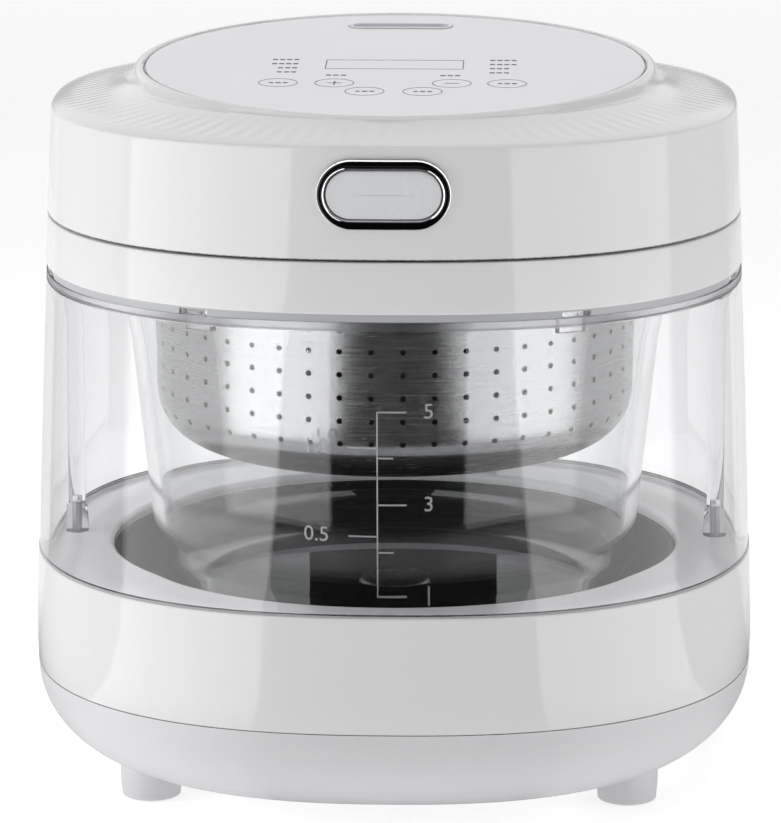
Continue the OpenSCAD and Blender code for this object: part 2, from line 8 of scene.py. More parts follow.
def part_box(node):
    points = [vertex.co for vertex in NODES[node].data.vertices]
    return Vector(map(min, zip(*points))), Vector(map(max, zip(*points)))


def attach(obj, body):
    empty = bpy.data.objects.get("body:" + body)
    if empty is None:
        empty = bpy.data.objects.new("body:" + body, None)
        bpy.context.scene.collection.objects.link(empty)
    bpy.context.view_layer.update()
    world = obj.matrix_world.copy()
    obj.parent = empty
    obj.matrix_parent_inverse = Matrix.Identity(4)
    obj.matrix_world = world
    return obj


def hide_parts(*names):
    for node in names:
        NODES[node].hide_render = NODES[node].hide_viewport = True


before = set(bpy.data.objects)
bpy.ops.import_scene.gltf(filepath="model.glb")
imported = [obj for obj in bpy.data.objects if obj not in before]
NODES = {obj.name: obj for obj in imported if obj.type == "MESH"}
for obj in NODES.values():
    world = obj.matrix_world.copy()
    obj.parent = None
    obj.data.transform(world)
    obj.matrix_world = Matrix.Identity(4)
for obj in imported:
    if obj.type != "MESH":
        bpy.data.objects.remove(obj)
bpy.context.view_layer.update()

MM = 0.001

# ------------------------------------------------------------------ sizes, in mm, from the CAD frame

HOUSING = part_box("base_housing")[1]
BODY = HOUSING.x / MM                               # half width at the widest
HOUSING_TOP = HOUSING.z / MM
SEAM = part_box("bottom_cover")[1].z / MM             # gloss and satin meet here
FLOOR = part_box("bottom_cover")[0].z / MM
WINDOW_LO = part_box("window")[0].z / MM
WINDOW_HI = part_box("window")[1].z / MM
COLLAR_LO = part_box("collar")[0].z / MM
COLLAR_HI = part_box("collar")[1].z / MM
LID_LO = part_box("lid_shell")[0].z / MM
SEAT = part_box("glass_pot")[0].z / MM
POT_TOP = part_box("glass_pot")[1].z / MM
POT_RIM_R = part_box("glass_pot")[1].x / MM
BASKET_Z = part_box("steam_basket")[0].z / MM
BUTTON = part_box("lid_button")
BUTTON_Z = 223.4                                    # height of the button's middle
BUTTON_Y = 122.4                                    # distance of its face from the axis
BUTTON_W = (BUTTON[1].x - BUTTON[0].x) / MM
BUTTON_H = (BUTTON[1].z - BUTTON[0].z) / MM
FACE_R = 281.0                                      # curve of the lid's front at the button

PLAN = 2.4                                          # exponent of the rounded-square plan
RIM = 121.1                                         # half width at RIM_Z
WIDE_Z = 45.0                                       # the body is widest up to here
RIM_Z = 235.0
FLARE = 1.35                                        # exponent of the side's curve
BOWL_FLAT = 92.6                                    # half width of the flat underside
WALL = 2.6
WELL = 101.8                                        # radius of the hole in the deck
DECK = 79.3
POST_X, POST_Y = 83.5, 68                           # the four posts and their sleeves
LEDGE = 197                                         # the collar's inner ledge
LIP = 177.6                                         # the window's wall is thicker above this
WINDOW_GAP = 0.45
WINDOW_WALL = 2.9
PANEL_Z = 250.2
PANEL_R = 88.5
TILT = 3.6                                          # slope of the panel, in degrees
POT_LOW = 86.6
POT_HIGH = 99.4
POT_CORNER = 18.0
POT_FLANGE = 197.5
GLASS = 4.0
BASKET_R = 85.8


def side(z):
    """Half width of the outside at height z."""
    return BODY - (BODY - RIM) * max(0.0, (z - WIDE_Z) / (RIM_Z - WIDE_Z)) ** FLARE


def bowl(u, inset):
    """Profile of the lower cover, from its flat (u = 0) to the seam (u = 1)."""
    a = math.radians(90 * (1 - u))
    return (BOWL_FLAT + (BODY - 0.2 - BOWL_FLAT) * max(0.0, math.cos(a)) ** 1.13 - inset,
            SEAM - (SEAM - FLOOR - inset) * max(0.0, math.sin(a)) ** 0.96)


def pot_r(z):
    """Outer radius of the pot at height z."""
    low = SEAT + POT_CORNER
    return POT_LOW + (POT_HIGH - POT_LOW) * (z - low) / (POT_FLANGE - low)


def mm(u, v, h):
    """A point given in mm."""
    return u * MM, v * MM, h * MM


def bezier(p, t):
    k = ((1 - t) ** 3, 3 * t * (1 - t) ** 2, 3 * t * t * (1 - t), t ** 3)
    return tuple(sum(k[i] * p[i][j] for i in range(4)) for j in range(2))


def arc(cx, cy, r, a0, a1, n):
    return [(cx + r * math.cos(math.radians(a0 + (a1 - a0) * i / n)),
             cy + r * math.sin(math.radians(a0 + (a1 - a0) * i / n))) for i in range(n + 1)]


# ------------------------------------------------------------------ mesh helpers

def section(a, z, n=PLAN, tilt=0.0, count=288, wave=None):
    """A rounded-square ring of half width a, even in azimuth."""
    pts = []
    k = math.tan(math.radians(tilt))
    for i in range(count):
        f = 2 * math.pi * i / count
        c, s = math.cos(f), math.sin(f)
        r = a / (abs(c) ** n + abs(s) ** n) ** (1 / n)
        h = wave(f) if wave else 0.0
        pts.append((r * c * MM, r * s * MM, (z + r * s * k + h) * MM))
    return pts


def rounded(path, k=4):
    """Rounds the corners of a path of (a, z, n, tilt, radius)."""
    out, m = [], len(path)
    for i, p in enumerate(path):
        r = p[4]
        if r <= 0:
            out.append(p[:4])
            continue
        ends = []
        for q in (path[i - 1], path[(i + 1) % m]):
            d = math.dist(p[:2], q[:2])
            f = min(r, d * 0.45) / d
            ends.append([p[j] + (q[j] - p[j]) * f for j in range(4)])
        for s in range(k + 1):
            t = s / k
            w = ((1 - t) ** 2, 2 * t * (1 - t), t * t)
            out.append(tuple(w[0] * ends[0][j] + w[1] * p[j] + w[2] * ends[1][j] for j in range(4)))
    return out


def tidy_mesh(me, sharp):
    bm = bmesh.new()
    bm.from_mesh(me)
    bmesh.ops.recalc_face_normals(bm, faces=bm.faces)
    bm.to_mesh(me)
    bm.free()
    me.polygons.foreach_set("use_smooth", [True] * len(me.polygons))
    me.set_sharp_from_angle(angle=math.radians(sharp))
    me.update()


def add(name, verts, faces, sharp=32):
    me = bpy.data.meshes.new(name)
    me.from_pydata(verts, [], faces)
    tidy_mesh(me, sharp)
    ob = bpy.data.objects.new(name, me)
    bpy.context.scene.collection.objects.link(ob)
    return ob


def skin(name, rings, looped=True, sharp=32):
    """Quads through rings of equal length; a ring of one point closes the form."""
    verts, starts, faces = [], [], []
    for r in rings:
        starts.append(len(verts))
        verts += r
    m = len(rings)
    for k in range(m if looped else m - 1):
        a, b = rings[k], rings[(k + 1) % m]
        lo, hi = starts[k], starts[(k + 1) % m]
        count = max(len(a), len(b))
        for i in range(count):
            j = (i + 1) % count
            if len(a) == 1 and len(b) == 1:
                continue
            if len(a) == 1:
                faces.append((lo, hi + j, hi + i))
            elif len(b) == 1:
                faces.append((lo + i, lo + j, hi))
            else:
                faces.append((lo + i, lo + j, hi + j, hi + i))
    return add(name, verts, faces, sharp)


def shell(name, path, count=288, sharp=32):
    return skin(name, [section(*p, count=count) for p in rounded(path)], sharp=sharp)


def lathe(name, path, count=256, sharp=32):
    rings = []
    for p in rounded([(q[0], q[1], 2, 0.0, q[2] if len(q) > 2 else 0) for q in path]):
        if p[0] < 1e-6:
            rings.append([(0.0, 0.0, p[1] * MM)])
        else:
            rings.append(section(p[0], p[1], 2, 0.0, count))
    return skin(name, rings, looped=len(rings[0]) > 1, sharp=sharp)


def prism(outline, at, low, high):
    """Closed plate on a curved or tilted surface: at(u, v, h) gives the point."""
    n = len(outline)
    verts = [at(u, v, low) for u, v in outline] + [at(u, v, high) for u, v in outline]
    faces = [tuple(range(n - 1, -1, -1)), tuple(range(n, 2 * n))]
    faces += [(i, (i + 1) % n, n + (i + 1) % n, n + i) for i in range(n)]
    return verts, faces


def merge(parts):
    verts, faces = [], []
    for v, f in parts:
        k = len(verts)
        verts += v
        faces += [tuple(i + k for i in q) for q in f]
    return verts, faces


def hoop(outer, inner, at, low, high):
    """Closed flat ring between two outlines of equal length."""
    n = len(outer)
    verts = []
    for line, h in ((outer, low), (outer, high), (inner, high), (inner, low)):
        verts += [at(u, v, h) for u, v in line]
    faces = []
    for k in range(4):
        lo, hi = k * n, ((k + 1) % 4) * n
        faces += [(lo + i, lo + (i + 1) % n, hi + (i + 1) % n, hi + i) for i in range(n)]
    return verts, faces


def pill_line(w, h, n=24, bands=6):
    """Outline of a pill, counter-clockwise from the right end's bottom."""
    r, c = h / 2, (w - h) / 2
    pts = [(c + r * math.cos(a), r * math.sin(a))
           for a in (math.radians(-90 + 180 * i / n) for i in range(n + 1))]
    pts += [(c - 2 * c * i / bands, r) for i in range(1, bands)]
    pts += [(-c + r * math.cos(a), r * math.sin(a))
            for a in (math.radians(90 + 180 * i / n) for i in range(n + 1))]
    pts += [(-c + 2 * c * i / bands, -r) for i in range(1, bands)]
    return pts


def circle_line(x, y, r, n=40):
    return [(x + r * math.cos(2 * math.pi * i / n), y + r * math.sin(2 * math.pi * i / n))
            for i in range(n)]


def box_line(x, y, w, h):
    return [(x - w / 2, y - h / 2), (x + w / 2, y - h / 2), (x + w / 2, y + h / 2), (x - w / 2, y + h / 2)]


def cut(ob, cutters, sharp=32):
    """Takes the cutters out of a mesh and keeps the result."""
    for c in cutters:
        mod = ob.modifiers.new("cut", "BOOLEAN")
        mod.operation = "DIFFERENCE"
        mod.solver = "EXACT"
        mod.object = c
    dg = bpy.context.evaluated_depsgraph_get()
    me = bpy.data.meshes.new_from_object(ob.evaluated_get(dg))
    ob.modifiers.clear()
    old = ob.data
    ob.data = me
    me.name = ob.name
    bpy.data.meshes.remove(old)
    for c in cutters:
        bpy.data.objects.remove(c)
    me.polygons.foreach_set("use_smooth", [True] * len(me.polygons))
    me.set_sharp_from_angle(angle=math.radians(sharp))
    return ob


def block(x0, y0, z0, dx, dy, dz):
    v = [((x0 + dx * a) * MM, (y0 + dy * b) * MM, (z0 + dz * c) * MM)
         for a in (0, 1) for b in (0, 1) for c in (0, 1)]
    f = [(0, 1, 3, 2), (4, 6, 7, 5), (0, 4, 5, 1), (2, 3, 7, 6), (0, 2, 6, 4), (1, 5, 7, 3)]
    return add("cutter", v, f)


def place(ob, body, *nodes, slot=None, mat=None):
    if mat:
        ob.data.materials.clear()
        ob.data.materials.append(mat)
    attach(ob, body)
    if nodes:
        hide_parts(*nodes)
    return ob


# ------------------------------------------------------------------ materials

def rgb(hex_code):
    v = [int(hex_code[i:i + 2], 16) / 255 for i in (1, 3, 5)]
    return tuple(c / 12.92 if c <= 0.04045 else ((c + 0.055) / 1.055) ** 2.4 for c in v) + (1.0,)


def nodes_of(name):
    m = bpy.data.materials.new(name)
    m.use_nodes = True
    t = m.node_tree
    return m, t, t.nodes["Principled BSDF"]


def noise(t, coord, scale, detail=3.0, rough=0.5, stretch=None):
    n = t.nodes.new("ShaderNodeTexNoise")
    n.inputs["Scale"].default_value = scale
    n.inputs["Detail"].default_value = detail
    n.inputs["Roughness"].default_value = rough
    if stretch:
        mp = t.nodes.new("ShaderNodeMapping")
        mp.inputs["Scale"].default_value = stretch
        t.links.new(coord, mp.inputs["Vector"])
        t.links.new(mp.outputs["Vector"], n.inputs["Vector"])
    else:
        t.links.new(coord, n.inputs["Vector"])
    return n.outputs["Fac"]


def span(t, value, lo, hi, a, b):
    n = t.nodes.new("ShaderNodeMapRange")
    for k, v in enumerate((lo, hi, a, b)):
        n.inputs[k + 1].default_value = v
    t.links.new(value, n.inputs["Value"])
    return n.outputs["Result"]


def mix(t, factor, a, b):
    n = t.nodes.new("ShaderNodeMix")
    n.data_type = "RGBA"
    t.links.new(factor, n.inputs[0])
    for k, v in ((6, a), (7, b)):
        if isinstance(v, tuple):
            n.inputs[k].default_value = v
        else:
            t.links.new(v, n.inputs[k])
    return n.outputs[2]


def bump(t, height, strength, distance, under=None):
    n = t.nodes.new("ShaderNodeBump")
    n.inputs["Strength"].default_value = strength
    n.inputs["Distance"].default_value = distance
    t.links.new(height, n.inputs["Height"])
    if under:
        t.links.new(under, n.inputs["Normal"])
    return n.outputs["Normal"]


def surface(name, tint, rough, metal=0.0, vary=0.04, wander=0.05, cloud=14, grain=900,
            relief=0.15, height=0.00002, stretch=None, wear=0.06, **sockets):
    """Colour that drifts a little, roughness that wanders, a fine relief and paler worn edges."""
    m, t, p = nodes_of(name)
    coord = t.nodes.new("ShaderNodeTexCoord").outputs["Object"]
    base = rgb(tint)
    dark = tuple(c * (1 - vary) for c in base[:3]) + (1.0,)
    light = tuple(min(1.0, c * (1 + vary)) for c in base[:3]) + (1.0,)
    tone = mix(t, span(t, noise(t, coord, cloud, 4), 0.3, 0.7, 0, 1), dark, light)
    edge = t.nodes.new("ShaderNodeNewGeometry").outputs["Pointiness"]
    worn = tuple(min(1.0, c * (1 + wear) + wear * 0.2) for c in base[:3]) + (1.0,)
    tone = mix(t, span(t, edge, 0.53, 0.62, 0, 0.6), tone, worn)
    t.links.new(tone, p.inputs["Base Color"])
    fine = noise(t, coord, grain, 2, 0.6, stretch)
    drift = noise(t, coord, cloud * 3, 5, 0.65)
    t.links.new(span(t, drift, 0.25, 0.75, max(0.0, rough - wander), rough + wander), p.inputs["Roughness"])
    t.links.new(bump(t, fine, relief, height), p.inputs["Normal"])
    p.inputs["Metallic"].default_value = metal
    for k, v in sockets.items():
        p.inputs[k.replace("_", " ")].default_value = v
    return m


def brushed(name, tint, rough, stretch, grain=60, vary=0.12, relief=0.3, height=0.00003, aniso=0.0):
    """Metal with fine parallel scratches; the stretch is small along them."""
    m, t, p = nodes_of(name)
    coord = t.nodes.new("ShaderNodeTexCoord").outputs["Object"]
    lines = noise(t, coord, grain, 5, 0.7, stretch)
    soft = noise(t, coord, 9, 3)
    base = rgb(tint)
    dark = tuple(c * (1 - vary) for c in base[:3]) + (1.0,)
    light = tuple(min(1.0, c * (1 + vary)) for c in base[:3]) + (1.0,)
    tone = mix(t, span(t, lines, 0.3, 0.7, 0, 1), dark, light)
    t.links.new(tone, p.inputs["Base Color"])
    r = t.nodes.new("ShaderNodeMath")
    r.operation = "ADD"
    t.links.new(span(t, lines, 0.3, 0.7, rough - 0.05, rough + 0.05), r.inputs[0])
    t.links.new(span(t, soft, 0.3, 0.7, -0.03, 0.03), r.inputs[1])
    t.links.new(r.outputs[0], p.inputs["Roughness"])
    t.links.new(bump(t, lines, relief, height), p.inputs["Normal"])
    p.inputs["Metallic"].default_value = 1.0
    p.inputs["Anisotropic"].default_value = aniso
    return m


def clear(name, tint, ior, rough=0.0, ripple=0.04, size=26.0):
    """Clear wall: refracts what the eye sees, lets lamp light through to what stands behind."""
    m, t, p = nodes_of(name)
    coord = t.nodes.new("ShaderNodeTexCoord").outputs["Object"]
    p.inputs["Transmission Weight"].default_value = 1.0
    p.inputs["IOR"].default_value = ior
    base = rgb(tint)
    pale = tuple(min(1.0, c * 1.01) for c in base[:3]) + (1.0,)
    t.links.new(mix(t, noise(t, coord, 8, 2), base, pale), p.inputs["Base Color"])
    t.links.new(span(t, noise(t, coord, 40, 4), 0.35, 0.8, rough, rough + 0.03), p.inputs["Roughness"])
    t.links.new(bump(t, noise(t, coord, size, 2, 0.4, (1, 1, 0.35)), ripple, 0.0005), p.inputs["Normal"])
    out = t.nodes["Material Output"]
    path = t.nodes.new("ShaderNodeLightPath")
    see = t.nodes.new("ShaderNodeBsdfTransparent")
    see.inputs["Color"].default_value = (0.97, 0.97, 0.97, 1)
    both = t.nodes.new("ShaderNodeMixShader")
    t.links.new(path.outputs["Is Shadow Ray"], both.inputs[0])
    t.links.new(p.outputs[0], both.inputs[1])
    t.links.new(see.outputs[0], both.inputs[2])
    t.links.new(both.outputs[0], out.inputs["Surface"])
    return m


def board(name, tint):
    """Circuit board: solder mask with copper tracks showing through."""
    m, t, p = nodes_of(name)
    coord = t.nodes.new("ShaderNodeTexCoord").outputs["Object"]
    brick = t.nodes.new("ShaderNodeTexBrick")
    brick.inputs["Scale"].default_value = 90
    brick.inputs["Mortar Size"].default_value = 0.03
    base = rgb(tint)
    brick.inputs["Color1"].default_value = base
    brick.inputs["Color2"].default_value = tuple(c * 0.85 for c in base[:3]) + (1,)
    brick.inputs["Mortar"].default_value = tuple(min(1, c * 1.5 + 0.02) for c in base[:3]) + (1,)
    t.links.new(coord, brick.inputs["Vector"])
    t.links.new(brick.outputs["Color"], p.inputs["Base Color"])
    t.links.new(span(t, noise(t, coord, 120, 3), 0.3, 0.7, 0.3, 0.45), p.inputs["Roughness"])
    t.links.new(bump(t, brick.outputs["Fac"], 0.3, 0.00004), p.inputs["Normal"])
    return m


M = {
    "gloss": surface("gloss_white_plastic", "#DEDEDF", 0.07, vary=0.006, wander=0.02, grain=420, relief=0.02,
                     height=0.00001, wear=0.01, IOR=1.5),
    "satin": surface("satin_white_plastic", "#D2D2D4", 0.42, vary=0.01, wander=0.05, grain=1500, relief=0.25,
                     height=0.00002, wear=0.02),
    "pale": surface("pale_grey_plastic", "#E2E3E6", 0.2, vary=0.012, wander=0.04, grain=900, relief=0.08),
    # painted light: the deck gets a lighter copy of the pale grey plastic, standing in for light that reaches
    # it too little
    "deck": surface("deck_pale_grey_plastic_painted_lighter", "#F3F3F5", 0.2, vary=0.012, wander=0.04, grain=900,
                    relief=0.08),
    "panel": surface("panel_face", "#E1E0E5", 0.2, vary=0.008, wander=0.04, grain=700,
                     relief=0.04, wear=0.02),
    "vent": surface("vent_grey", "#DCDDE2", 0.34, vary=0.02, grain=900, relief=0.15),
    "dark": surface("dark_liner", "#1A1A1C", 0.55, vary=0.12, wander=0.08, grain=1100, relief=0.08, wear=0.03,
                    Specular_IOR_Level=0.04),
    "plate": surface("plate_coating", "#1D1D1F", 0.5, metal=0.1, vary=0.1, wander=0.08, grain=700,
                     relief=0.12,
                     stretch=(1, 1, 6), Specular_IOR_Level=0.04),
    "black": surface("black_plastic", "#161617", 0.4, vary=0.1, wander=0.06, grain=1200,
                     relief=0.25, wear=0.03),
    "gloss_black": surface("gloss_black", "#030303", 0.05, vary=0.1, wander=0.02, grain=500,
                           relief=0.01, wear=0.0),
    "rubber": surface("foot_rubber", "#8D8E90", 0.7, vary=0.06, wander=0.06, grain=1300, relief=0.4),
    "silicone": surface("silicone", "#D3D3D0", 0.5, vary=0.02, wander=0.05, grain=900, relief=0.2,
                        Subsurface_Weight=0.1),
    "seal": surface("grey_seal", "#A9AAAD", 0.55, vary=0.03, wander=0.06, grain=1200, relief=0.25),
    "band": surface("band_grey", "#B4B5B8", 0.4, vary=0.02, wander=0.06, grain=1200, relief=0.2),
    "cable": surface("cable_sheath", "#26272A", 0.5, vary=0.08, grain=800, relief=0.3, stretch=(1, 1, 0.2)),
    "button": surface("button_silver", "#DADBDD", 0.26, metal=0.0, vary=0.01, wander=0.03, grain=1800,
                      relief=0.08, wear=0.02),
    "chrome": surface("bezel_chrome", "#E9E9EB", 0.07, metal=1.0, vary=0.02, wander=0.03, grain=500,
                      relief=0.03),
    "basket": brushed("basket_steel", "#B6B6B6", 0.25, (1, 1, 26), vary=0.07, relief=0.25, aniso=0.3),
    "lid_steel": brushed("inner_lid_steel", "#C6C7C9", 0.3, (6, 6, 1), vary=0.06),
    "screw": brushed("screw_steel", "#9B9DA0", 0.3, (1, 1, 8), grain=200, vary=0.15),
    "post_screw": brushed("post_screw_steel", "#DCDDDF", 0.34, (1, 1, 8), grain=200, vary=0.1),
    "spring": brushed("spring_steel", "#8C8E91", 0.26, (3, 3, 3), grain=300, vary=0.15),
    "element": surface("element_sheath", "#6B6A68", 0.45, metal=0.8, vary=0.15, wander=0.1, grain=500,
                       relief=0.4),
    "board": board("board_green", "#1F5B38"),
    "parts": surface("board_parts", "#2B3138", 0.42, vary=0.2, cloud=60, grain=900, relief=0.2),
    "window": clear("clear_window", "#FAFAFB", 1.49, ripple=0.004, size=14),
    "frost": clear("frosted_lip", "#EDEDF0", 1.3, rough=0.35, ripple=0.01),
    "post": clear("clear_post", "#F6F6F8", 1.2, rough=0.05, ripple=0.02),
    "glass": clear("pot_glass", "#FAFBFB", 1.47, ripple=0.006, size=18),
    "mark": surface("print_grey", "#4E4F53", 0.5, vary=0.05, grain=1200, relief=0.1),
    "mark_light": surface("print_light", "#B9BABC", 0.45, vary=0.05, grain=1200, relief=0.1),
}

FINISH = {
    "feet": "satin", "foot_pads": "rubber", "foot_screws": "screw", "well_liner": "dark",
    "heating_plate": "plate", "heating_element": "element", "plate_supports": "screw",
    "sensor_guide": "black", "sensor_spring": "spring", "sensor_plunger": "lid_steel",
    "thermal_cutout": "black", "power_board": "board", "board_parts": "parts",
    "inlet_housing": "black", "inlet_pins": "screw", "inlet_screws": "screw",
    "window_clips": "window", "tie_posts": "post", "post_screws": "post_screw", "rear_spine": "dark",
    "spine_cable": "cable", "pot_seat_ring": "silicone", "latch_catch": "screw",
    "hinge_bracket": "gloss", "hinge_pin": "screw", "hinge_spring": "spring", "lid_liner": "pale",
    "lid_screws": "screw", "hinge_arms": "gloss", "inner_lid": "lid_steel", "lid_gasket": "silicone",
    "steam_valve": "silicone", "steam_duct": "pale", "steam_vent_cap": "vent",
    "control_panel": "panel", "display_module": "black", "touch_board": "board",
    "button_spring": "spring", "latch_hook": "screw", "latch_pin": "screw",
}
for node, key in FINISH.items():
    NODES[node].data.materials.clear()
    NODES[node].data.materials.append(M[key])

# ------------------------------------------------------------------ base

outside = [(*bowl(u / 20, 0), PLAN, 0.0, 0.0) for u in range(21)]
inside = [(*bowl(u / 12, WALL), PLAN, 0.0, 0.0) for u in range(12, -1, -1)]
rings = [section(*p[:4]) for p in outside + inside]
floor_in = [[(0.0, 0.0, (FLOOR + WALL) * MM)]]
floor_out = [[(0.0, 0.0, FLOOR * MM)]]
bottom = skin("bottom_cover_form", floor_out + rings + floor_in, looped=False)
slots = []
for x in range(-35, 36, 7):
    for y in (-40, 40):
        slots.append(prism([(x + b, y + a) for a, b in pill_line(26, 3, 8, 1)],
                           mm, FLOOR - 1, FLOOR + WALL + 1))
cut(bottom, [add("cutter", *merge(slots))])
place(bottom, "base", "bottom_cover", slot="satin_white", mat=M["satin"])

ledge = side(78) - WALL
housing = shell("base_housing_form", [
    (BODY - 0.35, SEAM + 0.2, PLAN, 0, 0.35), (BODY, WIDE_Z + 1, PLAN, 0, 0), (side(50), 50, PLAN, 0, 0),
    (side(57), 57, PLAN, 0, 0), (side(65), 65, PLAN, 0, 0), (side(72), 72, PLAN, 0, 0),
    (side(79), 79, PLAN, 0, 0), (side(80.2), HOUSING_TOP, PLAN, 0, 0.6),
    (side(80) - WALL, HOUSING_TOP, PLAN, 0, 0), (ledge, 76.6, PLAN, 0, 0), (ledge - 3.4, 76.6, PLAN, 0, 0),
    (ledge - 3.4, 74.6, PLAN, 0, 0), (side(74) - WALL, 71, PLAN, 0, 0),
    (BODY - WALL, SEAM + 0.2, PLAN, 0, 0)])
cut(housing, [block(-14.2, 105, 47.8, 28.4, 30, 20.4)])
place(housing, "base", "base_housing", slot="gloss_white", mat=M["gloss"])

rim = side(80)
deck = shell("deck_ring_form", [
    (rim - WALL - 0.2, DECK - 2.5, PLAN, 0, 0), (rim - WALL - 0.2, HOUSING_TOP, PLAN, 0, 0),
    (rim - 4.2, HOUSING_TOP, PLAN, 0, 0.2), (rim - 4.8, DECK, PLAN, 0, 0.2),
    (rim - 9, DECK, PLAN, 0, 0), (rim - 14, DECK, 2.25, 0, 0), (WELL + 1.6, DECK, 2, 0, 0.5),
    (WELL, DECK - 1.2, 2, 0, 0.8), (WELL, DECK - 3.5, 2, 0, 0), (WELL + 2.2, DECK - 3.5, 2, 0, 0),
    (WELL + 2.4, DECK - 2.5, 2, 0, 0)])
sleeves = [hoop(circle_line(x, y, 4.6, 32), circle_line(x, y, 1.9, 32), mm, 20, DECK - 2.4)
           for x in (-POST_X, POST_X) for y in (-POST_Y, POST_Y)]
legs = add("deck_sleeves", *merge(sleeves))
# the deck wears the lighter copy of the pale grey plastic, which is painted light; its sleeves keep the plain
# pale grey
place(deck, "base", "deck_ring", slot="pale_plastic", mat=M["deck"])
place(legs, "base", slot="pale_plastic", mat=M["pale"])

seal = shell("window_seal_lower_form", [
    (rim - 0.8, HOUSING_TOP, PLAN, 0, 0), (rim - 0.8, WINDOW_LO, PLAN, 0, 0),
    (rim - 3.8, WINDOW_LO, PLAN, 0, 0), (rim - 3.8, HOUSING_TOP, PLAN, 0, 0)])
place(seal, "base", "window_seal_lower", slot="grey_seal", mat=M["seal"])

levels = list(range(90, 171, 10))                   # the side's curve between the window's ends
depth = WINDOW_GAP + WINDOW_WALL
outer = [(side(z) - WINDOW_GAP, z, PLAN, 0, 0.35 if z in (WINDOW_LO, WINDOW_HI) else 0)
         for z in [WINDOW_LO] + levels + [LIP, WINDOW_HI]]
inner = [(side(WINDOW_HI) - depth - 0.5, WINDOW_HI, PLAN, 0, 0.4),
         (side(LIP) - depth - 0.5, LIP + 0.4, PLAN, 0, 0.3), (side(LIP) - depth, LIP - 0.1, PLAN, 0, 0.2)]
inner += [(side(z) - depth, z, PLAN, 0, 0.3 if z == WINDOW_LO else 0)
          for z in levels[::-1] + [WINDOW_LO]]
window = shell("window_form", outer + inner, count=384)
window.data.materials.append(M["window"])
window.data.materials.append(M["frost"])
for p in window.data.polygons:
    p.material_index = 1 if min(window.data.vertices[v].co.z for v in p.vertices) > (LIP - 0.3) * MM else 0
place(window, "base", "window", slot="clear_plastic")


def clip_box(t, x0, x1, half, z0, z1):
    """Box on the window's inside at azimuth t, measured outwards from the wall's inner face."""
    c, s = math.cos(math.radians(t)), math.sin(math.radians(t))
    r = (side(LIP) - depth) / (abs(c) ** PLAN + abs(s) ** PLAN) ** (1 / PLAN)
    at = lambda u, v, h: (((r + u) * c - v * s) * MM, ((r + u) * s + v * c) * MM, h * MM)
    return prism([(x0, -half), (x1, -half), (x1, half), (x0, half)], at, z0, z1)


top = side(WINDOW_HI)
band = shell("window_seal_upper_form", [
    (top - 0.9, WINDOW_HI, PLAN, 0, 0.3), (top - 0.9, COLLAR_LO, PLAN, 0, 0.1),
    (top - 3.6, COLLAR_LO, PLAN, 0, 0), (top - 3.6, WINDOW_HI, PLAN, 0, 0)])
notches = merge([clip_box(t, -4, 5, 5.2, WINDOW_HI - 1, COLLAR_LO - 0.6)
                 for t in (20, 60, 120, 160, 200, 240, 300, 340)])
cut(band, [add("cutter", *notches)])
place(band, "base", "window_seal_upper", slot="grey_seal", mat=M["band"])

collar = shell("collar_form", [
    (side(COLLAR_LO) - 0.05, COLLAR_LO, PLAN, 0, 0.6), (side(188), 188, PLAN, 0, 0),
    (side(194), 194, PLAN, 0, 0),
    (side(COLLAR_HI) - 0.02, COLLAR_HI, PLAN, 0, 0.7), (116, COLLAR_HI, 2.35, 0, 0),
    (106.6, COLLAR_HI, 2, 0, 0.3), (106.6, LEDGE, 2, 0, 0), (101.4, LEDGE, 2, 0, 0.4),
    (101.4, 185.2, 2, 0, 0.3), (103.4, 185.2, 2, 0, 0), (side(185) - 4.2, 185.2, PLAN, 0, 0),
    (side(COLLAR_LO) - 4.2, COLLAR_LO, PLAN, 0, 0)])
cut(collar, [block(-9.5, -119.2, 187, 19, 8.2, 20), block(-9.5, -119.2, 187, 19, 11.2, 11.2),
             block(-14, -119.2, 198.2, 28, 11.2, 10)])
place(collar, "base", "collar", slot="gloss_white", mat=M["gloss"])

# ------------------------------------------------------------------ pot and basket

low = SEAT + POT_CORNER
pot_path = [(0, SEAT), (30, SEAT)] + arc(POT_LOW - POT_CORNER, low, POT_CORNER, -90, 0, 22)
pot_path += [(pot_r(z), z) for z in (100, 125, 150, 175, POT_FLANGE - 3)]
pot_path += [(POT_HIGH + 2, POT_FLANGE, 0.8), (POT_RIM_R, POT_FLANGE, 0.8), (POT_RIM_R, POT_TOP, 0.9),
             (POT_HIGH - GLASS, POT_TOP, 0.9)]
pot_path += [(pot_r(z) - GLASS, z) for z in (175, 150, 125, 100)]
pot_path += arc(POT_LOW - POT_CORNER, low, POT_CORNER - GLASS, 0, -90, 22)
pot_path += [(30, SEAT + GLASS), (0, SEAT + GLASS)]
pot = lathe("glass_pot_form", pot_path, count=320, sharp=40)
place(pot, "pot", "glass_pot", slot="pot_glass", mat=M["glass"])


